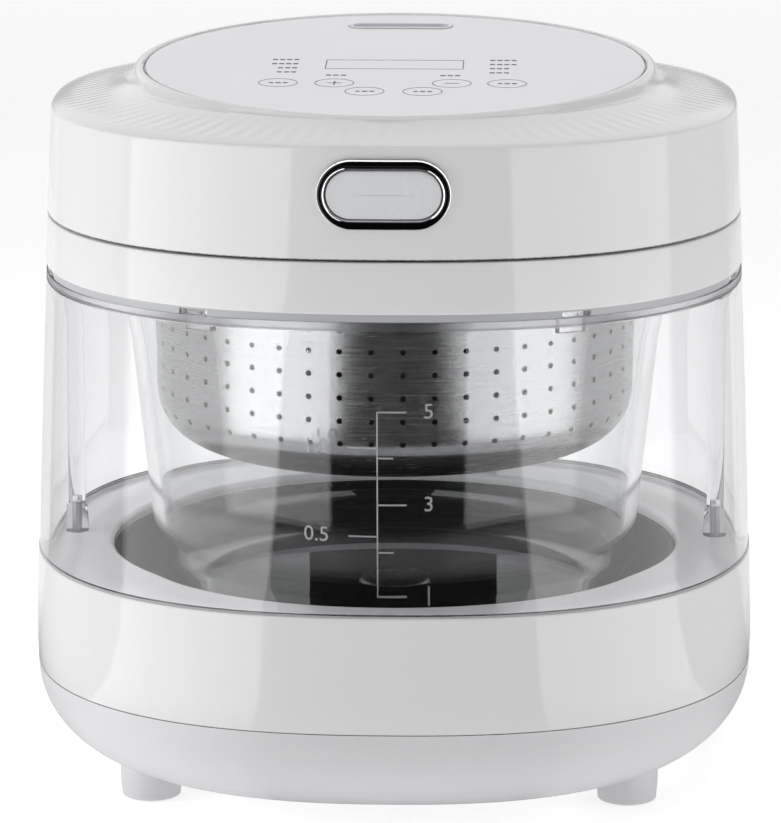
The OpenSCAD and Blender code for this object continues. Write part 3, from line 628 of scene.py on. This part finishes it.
def perforated(name):
    """Basket wall as a grid of cells, each with its own round hole, on a turned profile."""
    sheet, fillet, hole_r = 0.8, 22.0, 1.05
    pitch, holes, rows = 8.1, 50, 7
    centre = BASKET_Z + fillet
    first = BASKET_Z + 15.4                         # the lowest row of holes
    verts, faces, seen = [], [], {}

    def radius_at(z, r_out, f):
        if z >= centre:
            return r_out
        d = centre - z
        return BASKET_R - fillet + math.sqrt(max(0.0, f * f - d * d))

    def vert(phi, z, layer):
        key = (round(phi * 1e5) % round(2e5 * math.pi), round(z * 1e3), layer)
        if key not in seen:
            r = radius_at(z, BASKET_R - (sheet if layer else 0), fillet - (sheet if layer else 0))
            seen[key] = len(verts)
            verts.append((r * math.cos(phi) * MM, r * math.sin(phi) * MM, z * MM))
        return seen[key]

    step = 2 * math.pi / holes
    top_z = first + pitch * (rows - 0.5)
    low_z = first - pitch * 0.5
    side_n = 4
    for k in range(rows):
        for i in range(holes):
            mid = (i + 0.5) * step - math.pi / 2
            cz = first + pitch * k
            ring, hole = [], []
            n = side_n * 4
            for q in range(n):
                edge, f = divmod(q, side_n)
                f /= side_n
                u, v = [(-1 + 2 * f, -1), (1, -1 + 2 * f), (1 - 2 * f, 1), (-1, 1 - 2 * f)][edge]
                ring.append((mid + u * step / 2, cz + v * pitch / 2))
                g = math.atan2(v, u)
                hole.append((mid + hole_r * math.cos(g) / BASKET_R, cz + hole_r * math.sin(g)))
            half = [((a[0] + b[0]) / 2 * 0.6 + b[0] * 0.4, (a[1] + b[1]) / 2 * 0.6 + b[1] * 0.4)
                    for a, b in zip(ring, hole)]
            for layer in (0, 1):
                r = [vert(*p, layer) for p in ring]
                m = [vert(*p, layer) for p in half]
                h = [vert(*p, layer) for p in hole]
                for q in range(n):
                    w = (q + 1) % n
                    for x, y in ((r, m), (m, h)):
                        face = (x[q], x[w], y[w], y[q])
                        faces.append(face if layer == 0 else face[::-1])
            for q in range(n):
                w = (q + 1) % n
                faces.append((vert(*hole[q], 0), vert(*hole[w], 0), vert(*hole[w], 1), vert(*hole[q], 1)))
    per = holes * side_n

    def turned(points, layer, start_z):
        """Turns a profile on from the grid's edge; gives back its last ring."""
        last = [vert(-math.pi / 2 + step * i / side_n, start_z, layer) for i in range(per)]
        for r, z in points:
            if r < 1e-6:
                tip = len(verts)
                verts.append((0, 0, z * MM))
                for i in range(per):
                    faces.append((last[i], last[(i + 1) % per], tip))
                return None
            now = []
            for i in range(per):
                phi = -math.pi / 2 + step * i / side_n
                now.append(len(verts))
                verts.append((r * math.cos(phi) * MM, r * math.sin(phi) * MM, z * MM))
            for i in range(per):
                j = (i + 1) % per
                faces.append((last[i], last[j], now[j], now[i]))
            last = now
        return last

    out_low = [p for p in arc(BASKET_R - fillet, centre, fillet, 0, -90, 24) if p[1] < low_z - 0.3]
    in_low = [p for p in arc(BASKET_R - fillet, centre, fillet - sheet, 0, -90, 24) if p[1] < low_z - 0.3]
    rings_flat = [60, 50, 40, 30, 20, 10]
    turned(out_low + [(r, BASKET_Z) for r in rings_flat] + [(0, BASKET_Z)], 0, low_z)
    turned(in_low + [(r, BASKET_Z + sheet) for r in rings_flat] + [(0, BASKET_Z + sheet)], 1, low_z)
    # rolled top edge that rests on the pot's rim
    brim_lo, brim_hi = POT_TOP, POT_TOP + sheet
    a = turned([(BASKET_R, 188), (BASKET_R, 195), (BASKET_R, 199.4), (BASKET_R + 0.35, 200.5),
                (BASKET_R + 1.3, brim_lo), (92, brim_lo), (97.9, brim_lo), (98.35, brim_lo + 0.15),
                (98.5, brim_lo + 0.4)], 0, top_z)
    b = turned([(BASKET_R - sheet, 188), (BASKET_R - sheet, 195), (BASKET_R - sheet, 199.6),
                (BASKET_R - 0.4, 201.1), (BASKET_R + 0.6, brim_hi), (92, brim_hi), (97.9, brim_hi),
                (98.35, brim_hi - 0.15)], 1, top_z)
    for i in range(per):
        j = (i + 1) % per
        faces.append((a[i], a[j], b[j], b[i]))
    return add(name, verts, faces, 34)


basket = perforated("steam_basket_form")
drills = []
for k in range(1, 6):
    for i in range(6 * k):
        f = 2 * math.pi * i / (6 * k)
        drills.append(prism(circle_line(k * 11 * math.cos(f), k * 11 * math.sin(f), 1.5, 16),
                            mm, BASKET_Z - 1, BASKET_Z + 2))
cut(basket, [add("cutter", *merge(drills))], 34)
place(basket, "basket", "steam_basket", slot="brushed_steel", mat=M["basket"])

# scale printed on the front of the pot
def on_pot(u, v, h):
    """u mm to the right of the pot's front line, v is the height, h off the glass."""
    r = pot_r(v) + h
    f = u / r
    return (r * math.sin(f) * MM, -r * math.cos(f) * MM, v * MM)


def strip(x0, x1, z0, z1, n):
    return ([(x0 + (x1 - x0) * i / n, z0) for i in range(n + 1)]
            + [(x1 - (x1 - x0) * i / n, z1) for i in range(n + 1)])


def digits(text, size, x, z, at, low, high):
    """Numerals as closed plates on a surface, centred on (x, z)."""
    cu = bpy.data.curves.new("numerals", "FONT")
    cu.body = text
    cu.size = size
    cu.align_x = "CENTER"
    cu.align_y = "CENTER"
    cu.extrude = 1.0
    cu.resolution_u = 4
    tmp = bpy.data.objects.new("numerals", cu)
    bpy.context.scene.collection.objects.link(tmp)
    me = bpy.data.meshes.new_from_object(tmp.evaluated_get(bpy.context.evaluated_depsgraph_get()))
    verts = [at(v.co.x + x, v.co.y + z, low if v.co.z < 0 else high) for v in me.vertices]
    faces = [tuple(p.vertices) for p in me.polygons]
    bpy.data.objects.remove(tmp)
    bpy.data.curves.remove(cu)
    bpy.data.meshes.remove(me)
    return verts, faces


LINE_X = -3.2
scale_parts = [prism(strip(LINE_X - 0.24, LINE_X + 0.24, 78.1, 144.2, 1), on_pot, 0.04, 0.1)]
for z, long in ((144.0, True), (127.6, False), (110.8, True), (93.6, False), (78.4, True)):
    scale_parts.append(prism(strip(LINE_X + 0.35, LINE_X + (10 if long else 5.5), z - 0.28, z + 0.28, 4),
                             on_pot, 0.04, 0.1))
for z in (131.2, 99.4):
    scale_parts.append(prism(strip(LINE_X - 10, LINE_X - 0.35, z - 0.28, z + 0.28, 4), on_pot, 0.04, 0.1))
for text, x, z in (("5", 17.6, 144), ("3", 17.6, 110.8), ("1", 17.6, 78.4), ("1.0", -21.4, 131.2),
                   ("0.5", -21.4, 99.4)):
    scale_parts.append(digits(text, 7.6, LINE_X + x, z, on_pot, 0.04, 0.1))
marks = add("pot_scale", *merge(scale_parts), sharp=20)
place(marks, "pot", slot="pot_glass", mat=M["mark_light"])

# ------------------------------------------------------------------ lid

RIBS = 116
COUNT = RIBS * 8
foot = (95.5, 244.2)
rise = ((RIM - 0.75, 238.9), (115.5, 240.2), (104, 241.4), foot)
lip = (foot, (93.6, 245), (93, 247.6), (92.2, PANEL_Z - 0.6))


def ribbed(t):
    """Height of the fine radial ribs across the shoulder."""
    swell = max(0.0, math.sin(math.pi * min(1.0, max(0.0, (t - 0.16) / 0.76)))) ** 1.2
    return lambda f: -0.17 * swell * (0.5 + 0.5 * math.cos(RIBS * f))


rings = []                                          # outside first, then the bead, then inside
for p in rounded([(side(LID_LO) - 0.05, LID_LO, PLAN, 0.0, 0.6), (side(204), 204, PLAN, 0.0, 0)]):
    rings.append(section(*p, count=COUNT))
rings = rings[:-1] + [section(side(z), z, count=COUNT) for z in (204, 208, 212, 216, 220, 224, 228, 232, 236)]
crown = rounded([(side(236), 236, PLAN, 0.0, 0), (side(238.7), 238.7, PLAN, 0.0, 0.9),
                 (*bezier(rise, 0.14), PLAN, 0.0, 0)], 5)
rings += [section(*p, count=COUNT) for p in crown[1:-1]]
for i in range(3, 25):
    t = i / 24
    q = bezier(rise, t)
    rings.append(section(q[0], q[1], PLAN + (2 - PLAN) * t * t, 0.0, COUNT, ribbed(t)))
for i in range(1, 9):
    t = i / 8
    q = bezier(lip, t)
    rings.append(section(q[0], q[1], 2, TILT * t, COUNT))
top = [(91.4, PANEL_Z + 0.2), (90.4, PANEL_Z + 0.498), (89.5, PANEL_Z + 0.3), (PANEL_R + 0.5, PANEL_Z - 0.3),
       (PANEL_R + 0.4, PANEL_Z - 2.1), (85.5, PANEL_Z - 2.1), (85.5, PANEL_Z - 4.6)]
rings += [section(x, z, 2, TILT, COUNT) for x, z in top]
under = [(91.5, 241.8, 2, 1.2), (100, 240.4, 2.1, 0), (111, 238.4, 2.3, 0), (116.6, 236, PLAN, 0),
         (RIM - WALL, 232, PLAN, 0), (side(LID_LO) - WALL, LID_LO, PLAN, 0)]
rings += [section(*p, count=COUNT) for p in under]
lid = skin("lid_shell_form", rings)
hole = prism(pill_line(43.4, 21.8), lambda u, v, h: (u * MM, -h * MM, (BUTTON_Z + v) * MM), 110, 130)
hinge_cuts = [block(x, 110, LID_LO - 1, 11.5, 20, 10) for x in (-28, 16.5)]
cut(lid, [add("cutter", *hole)] + hinge_cuts)
place(lid, "lid", "lid_shell", slot="gloss_white", mat=M["gloss"])

# screw posts, latch ears and spring ribs inside the lid
inside_parts = [hoop(circle_line(x, y, 4.2, 32), circle_line(x, y, 1.5, 32), mm, 204.3, 238.8)
                for x in (-82, 82) for y in (-82, 82)]
flat = lambda u, v, h: (h * MM, u * MM, v * MM)
for x in (-15, 7):
    inside_parts.append(prism(box_line(-105.6, 229.5, 2, 21), flat, x, x + 8))
for x in (-12.4, 10):
    inside_parts.append(prism([(-119.6, 206.5), (-109.6, 206.5), (-109.6, 215), (-116.9, 215),
                               (-116.9, 212.4), (-119.6, 212.4)], flat, x, x + 2.4))
bosses = add("lid_shell_bosses", *merge(inside_parts))
place(bosses, "lid", slot="gloss_white", mat=M["gloss"])


def pill_stack(levels):
    """Pill sections (w, h, distance from the axis), bent to follow the lid's front."""
    rings = []
    for w, h, d in levels:
        rings.append([(u * MM, (-d + u * u / (2 * FACE_R)) * MM, (BUTTON_Z + v) * MM)
                      for u, v in pill_line(w, h, 24, 10)])
    n = len(rings[0])
    verts = [p for r in rings for p in r]
    faces = []
    for k in range(len(rings) - 1):
        lo, hi = k * n, (k + 1) * n
        faces += [(lo + i, lo + (i + 1) % n, hi + (i + 1) % n, hi + i) for i in range(n)]
    return verts, faces, n, len(rings)


def solid_pill(levels):
    verts, faces, n, m = pill_stack(levels)
    faces.append(tuple(range(n - 1, -1, -1)))
    faces.append(tuple(range((m - 1) * n, m * n)))
    return verts, faces


def ring_pill(name, levels, sharp=32):
    verts, faces, n, m = pill_stack(levels)
    lo, hi = (m - 1) * n, 0
    faces += [(lo + i, lo + (i + 1) % n, hi + (i + 1) % n, hi + i) for i in range(n)]
    return add(name, verts, faces, sharp)


Y = BUTTON_Y
w, h = BUTTON_W, BUTTON_H
face = [(w, h, Y - 4.7), (w, h, Y - 0.25), (w - 0.15, h - 0.15, Y), (w - 0.45, h - 0.45, Y + 0.18),
        (w - 0.9, h - 0.9, Y + 0.26)]
face += [(w - s, h - s, Y + 0.26 + 0.04 * min(1, s / 5)) for s in (3, 6, 9, 12, 14.5, h - 0.12)]
nub = prism(box_line(0, BUTTON_Z + 4.5, 8, 2), lambda u, v, h: (u * MM, -h * MM, v * MM), 115.1, 118.2)
button = add("lid_button_form", *merge([solid_pill(face), nub]))
place(button, "button", "lid_button", slot="button_silver", mat=M["button"])

TRIM_W, TRIM_H = 41, 18.7                           # where the bright trim meets the black bezel
trim = ring_pill("bezel_trim_form", [
    (TRIM_W, TRIM_H, Y - 5.1), (TRIM_W, TRIM_H, Y + 0.7), (40.7, 18.4, Y + 1.0), (40.3, 18.0, Y + 1.1),
    (39.9, 17.6, Y + 1.0),
    (w + 1.0, h + 1.0, Y + 0.5), (w + 0.6, h + 0.6, Y - 0.2), (w + 0.6, h + 0.6, Y - 5.1)])
place(trim, "lid", "bezel_trim", slot="bezel_chrome", mat=M["chrome"])

bezel = ring_pill("button_bezel_form", [
    (43, 21.4, Y - 5.1), (43, 21.4, Y - 0.7), (45.1, 23.5, Y - 0.7), (45.1, 23.5, Y + 0.1),
    (44.9, 23.3, Y + 0.4),
    (44.3, 22.7, Y + 0.7), (43.5, 21.9, Y + 0.88), (42.8, 21.1, Y + 0.9), (41.6, 19.4, Y + 0.86),
    (TRIM_W, TRIM_H, Y + 0.5), (TRIM_W, TRIM_H, Y - 5.1)])
bezel.data.materials.append(M["gloss_black"])
bezel.data.materials.append(M["chrome"])
per_ring = len(pill_line(TRIM_W, TRIM_H, 24, 10))
for p in bezel.data.polygons:
    row = min(p.vertices) // per_ring
    if 2 <= row <= 4 and max(p.vertices) // per_ring <= 5:
        p.material_index = 1
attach(bezel, "lid")
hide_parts("button_bezel")

# marks printed on the control panel
TILT_M = Matrix.Translation((0, 0, PANEL_Z * MM)) @ Matrix.Rotation(math.radians(TILT), 4, "X")


def on_panel(u, v, h):
    return tuple(TILT_M @ Vector((u * MM, v * MM, h * MM)))


def outline(line, x, y, s):
    """The same outline, scaled about (x, y)."""
    return [(x + (u - x) * s, y + (v - y) * s) for u, v in line]


LO, HI = 0.01, 0.05                                 # the print stands this far off the panel
KEY_R = 6.9
PLUS, MINUS = (-20, -34.7), (20.8, -34.7)
WORD_KEYS = [(-39.6, -34.7), (40, -34.7), (-9, -48.5), (11, -48.5)]
FRAME_Y = -2.7
print_parts = []
w, h, t = 48.9, 15.6, 0.36
print_parts.append(hoop(box_line(0, FRAME_Y, w, h), box_line(0, FRAME_Y, w - 2 * t, h - 2 * t),
                        on_panel, LO, HI))
for x, y in [PLUS, MINUS] + WORD_KEYS:
    ring_line = circle_line(x, y, KEY_R, 64)
    print_parts.append(hoop(ring_line, outline(ring_line, x, y, 0.955), on_panel, LO, HI))
for x, y in (PLUS, MINUS):
    print_parts.append(prism(box_line(x, y, 5, 0.6), on_panel, LO, HI))
for dy in (1.6, -1.6):
    print_parts.append(prism(box_line(PLUS[0], PLUS[1] + dy, 0.6, 2.6), on_panel, LO, HI))
for x, y in WORD_KEYS:
    for dx, dw in ((-2.4, 1.5), (0, 1.9), (2.5, 1.7)):
        print_parts.append(prism(box_line(x + dx, y, dw, 1.5), on_panel, LO, HI))
for x in (-20, 20):
    for dx in (-2.6, 0, 2.6):
        print_parts.append(prism(box_line(x + dx, -21.6, 1.9, 1.7), on_panel, LO, HI))
for sx in (-1, 1):
    for row, cells in enumerate((4, 4, 3, 3)):
        y = 5.2 - row * 7.2
        for c in range(cells):
            x = sx * (34.6 + c * 2.5) if sx > 0 else -42.6 + (4 - cells) * 2.5 + c * 2.5
            print_parts.append(prism(box_line(x, y, 1.8, 1.8), on_panel, LO, HI))
prints = add("panel_marks", *merge(print_parts), sharp=20)
place(prints, "lid", slot="panel_face", mat=M["mark"])

# ------------------------------------------------------------------ studio

scene = bpy.context.scene


def lamp(name, where, target, size_x, size_y, radiance, **seen):
    data = bpy.data.lights.new(name, "AREA")
    data.shape = "RECTANGLE"
    data.size, data.size_y = size_x, size_y
    data.energy = radiance * size_x * size_y * 4
    ob = bpy.data.objects.new(name, data)
    scene.collection.objects.link(ob)
    ob.location = where
    ob.rotation_mode = "QUATERNION"
    ob.rotation_quaternion = (Vector(target) - Vector(where)).to_track_quat("-Z", "Y")
    ob.visible_camera = False
    for k, v in seen.items():
        setattr(ob, k, v)
    return ob


def ramp(points, x):
    """Straight lines through (x, y) points, held at both ends."""
    for (x0, y0), (x1, y1) in zip(points, points[1:]):
        if x <= x1:
            return y0 + (y1 - y0) * max(0.0, min(1.0, (x - x0) / (x1 - x0)))
    return points[-1][1]


def glow(name):
    """Card material: exists only for light that a glossy surface has reflected; its level is per vertex."""
    m = bpy.data.materials.new(name)
    m.use_nodes = True
    t = m.node_tree
    t.nodes.clear()
    out = t.nodes.new("ShaderNodeOutputMaterial")
    em = t.nodes.new("ShaderNodeEmission")
    level = t.nodes.new("ShaderNodeAttribute")
    level.attribute_name = "level"
    t.links.new(level.outputs["Fac"], em.inputs["Strength"])
    path = t.nodes.new("ShaderNodeLightPath")
    gone = t.nodes.new("ShaderNodeBsdfTransparent")
    both = t.nodes.new("ShaderNodeMixShader")
    t.links.new(path.outputs["Glossy Depth"], both.inputs[0])
    t.links.new(gone.outputs[0], both.inputs[1])
    t.links.new(em.outputs[0], both.inputs[2])
    t.links.new(both.outputs[0], out.inputs["Surface"])
    return m


CARD_GLOW = glow("card_glow")


def card(name, edge0, edge1, radius, height, level, steps=40):
    """Curved card round the object; azimuths are counted from the camera's side. The edges are
    ramps of azimuth over height, the level is a function of azimuth and height."""
    rows = [height * k / 40 for k in range(41)]
    verts, values = [], []
    for z in rows:
        a0, a1 = ramp(edge0, z), ramp(edge1, z)
        for k in range(steps + 1):
            a = a0 + (a1 - a0) * k / steps
            f = math.radians(a)
            verts.append((math.sin(f) * radius, -math.cos(f) * radius, z))
            values.append(level(a, z))
    n = steps + 1
    faces = [(r * n + k, r * n + k + 1, (r + 1) * n + k + 1, (r + 1) * n + k)
             for r in range(len(rows) - 1) for k in range(steps)]
    ob = add(name, verts, faces)
    ob.data.attributes.new("level", "FLOAT", "POINT").data.foreach_set("value", values)
    ob.data.materials.append(CARD_GLOW)
    ob.visible_camera = False
    ob.visible_diffuse = False
    ob.visible_shadow = False
    return ob


INNER_LEFT = [(0, -24.5), (0.035, -23.3), (0.075, -21.3), (0.12, -20.5), (0.17, -18.8), (0.3, -17.5)]
INNER_RIGHT = [(0, 30.5), (0.035, 29.4), (0.075, 27.4), (0.12, 25.2), (0.17, 24.7), (0.3, 23.5)]
OUTER_LEFT, OUTER_RIGHT, REAR = -74, 84.5, 130
LEFT_LEVEL = [(-74, 2.3), (-45, 2.3), (-30, 2.1), (-17, 2.1)]
RIGHT_LEVEL = [(23, 1.75), (40, 1.75), (55, 2.0), (85, 2.0)]
SIDE_LEVEL = 0.65
DARK_LEVEL = 0.03
REAR_LEVEL = 0.9
BACK_LEVEL = [(0.25, 0.8), (0.32, 0.5), (0.4, 0.5), (0.5, 1.2)]
CARD_R, CARD_TOP = 0.42, 0.8


def around(azimuth, z):
    """What a glossy surface sees at an azimuth counted from the camera's side."""
    if ramp(INNER_LEFT, z) + 0.01 < azimuth < ramp(INNER_RIGHT, z) - 0.01:
        return DARK_LEVEL
    if abs(azimuth) >= REAR:
        return REAR_LEVEL
    if azimuth < 0:
        return ramp(LEFT_LEVEL, azimuth) if azimuth > OUTER_LEFT else SIDE_LEVEL
    return ramp(RIGHT_LEVEL, azimuth) if azimuth < OUTER_RIGHT else SIDE_LEVEL


FLOOR_R = [0.05, 0.13, 0.2, 0.3, 0.42, 0.8, 1.6, 3.2, 6.4, 12, 30]
FLOOR_Z = -0.02                                     # mm, just clear of the foot pads
floor = skin("floor", [[(0.0, 0.0, FLOOR_Z * MM)]] + [section(r / MM, FLOOR_Z, 2, 0, 360) for r in FLOOR_R],
             looped=False)
bm = bmesh.new()
bm.from_mesh(floor.data)
bm.faces.ensure_lookup_table()
if bm.faces[0].normal.z < 0:
    bmesh.ops.reverse_faces(bm, faces=bm.faces)
bm.to_mesh(floor.data)
bm.free()
NEAR_PAINTED_SHADOW = [(0.13, 0.25), (0.2, 0.5), (0.3, 1)]    # painted shadow of the object in the floor's reflected glow: dimmer next to the object, by distance
# painted light on the floor, seen only by glossy rays: pools at the cards' levels by azimuth, times the
# painted shadow near the object
levels = [around(math.degrees(math.atan2(v.co.x, -v.co.y)), 0) * ramp(NEAR_PAINTED_SHADOW, math.hypot(v.co.x, v.co.y))
          for v in floor.data.vertices]
floor.data.attributes.new("level", "FLOAT", "POINT").data.foreach_set("value", levels)
fm, ft, fp = nodes_of("studio_floor")
coord = ft.nodes.new("ShaderNodeTexCoord").outputs["Object"]
pale_floor = mix(ft, noise(ft, coord, 3, 2), (0.86, 0.86, 0.86, 1), (0.88, 0.88, 0.88, 1))
ft.links.new(pale_floor, fp.inputs["Base Color"])
far = ft.nodes.new("ShaderNodeVectorMath")
far.operation = "LENGTH"
ft.links.new(coord, far.inputs[0])
ft.links.new(span(ft, far.outputs["Value"], 0.3, 3.0, 0.52, 0.88), fp.inputs["Emission Strength"])
fp.inputs["Roughness"].default_value = 0.9
fp.inputs["Specular IOR Level"].default_value = 0.1
fp.inputs["Emission Color"].default_value = (1, 1, 1, 1)
# glossy rays see the floor as this emission, which holds the painted pools of light and the painted shadow
seen = ft.nodes.new("ShaderNodeEmission")
painted_floor_light = ft.nodes.new("ShaderNodeAttribute")
painted_floor_light.attribute_name = "level"
ft.links.new(painted_floor_light.outputs["Fac"], seen.inputs["Strength"])
seen_path = ft.nodes.new("ShaderNodeLightPath")
either = ft.nodes.new("ShaderNodeMixShader")
ft.links.new(seen_path.outputs["Glossy Depth"], either.inputs[0])
ft.links.new(fp.outputs[0], either.inputs[1])
ft.links.new(seen.outputs[0], either.inputs[2])
ft.links.new(either.outputs[0], ft.nodes["Material Output"].inputs["Surface"])
floor.data.materials.append(fm)

world = bpy.data.worlds.new("studio")
scene.world = world
world.use_nodes = True
world.node_tree.nodes["Background"].inputs["Color"].default_value = (1, 1, 1, 1)
world.node_tree.nodes["Background"].inputs["Strength"].default_value = 0.14

lamp("overhead", (0, -0.1, 1.5), (0, 0, 0.1), 1.6, 1.6, 1.15)
lamp("key_left", (-0.97, -0.26, 0.3), (0, 0, 0.13), 0.9, 0.6, 2.5, visible_glossy=False)
lamp("fill_right", (0.94, -0.34, 0.3), (0, 0, 0.13), 0.9, 0.6, 1.1, visible_glossy=False)

card("card_left", [(0, OUTER_LEFT)], INNER_LEFT, CARD_R, CARD_TOP, around)
card("card_right", INNER_RIGHT, [(0, OUTER_RIGHT)], CARD_R, CARD_TOP, around)
card("flag_front", INNER_LEFT, INNER_RIGHT, CARD_R, CARD_TOP, lambda a, z: DARK_LEVEL)
card("flag_left", [(0, -REAR)], [(0, OUTER_LEFT)], CARD_R, CARD_TOP, lambda a, z: SIDE_LEVEL)
card("flag_right", [(0, OUTER_RIGHT)], [(0, REAR)], CARD_R, CARD_TOP, lambda a, z: SIDE_LEVEL)
card("card_back", [(0, REAR)], [(0, 360 - REAR)], 1.4, 1.6, lambda a, z: ramp(BACK_LEVEL, z))

cam_data = bpy.data.cameras.new("camera")
cam = bpy.data.objects.new("camera", cam_data)
scene.collection.objects.link(cam)
scene.camera = cam
az, el = math.radians(1.8), math.radians(12.26)     # a little to the right of the front, looking down
AIM_Z, DISTANCE = 0.12384, 1.6855
back = Vector((math.sin(az) * math.cos(el), -math.cos(az) * math.cos(el), math.sin(el)))
cam.location = Vector((0, 0, AIM_Z)) + back * DISTANCE
cam.rotation_mode = "QUATERNION"
cam.rotation_quaternion = (-back).to_track_quat("-Z", "Y")
cam_data.lens = 204.8
cam_data.sensor_width = 36
cam_data.shift_x = -0.0055
cam_data.clip_end = 60
scene.view_settings.view_transform = "Standard"
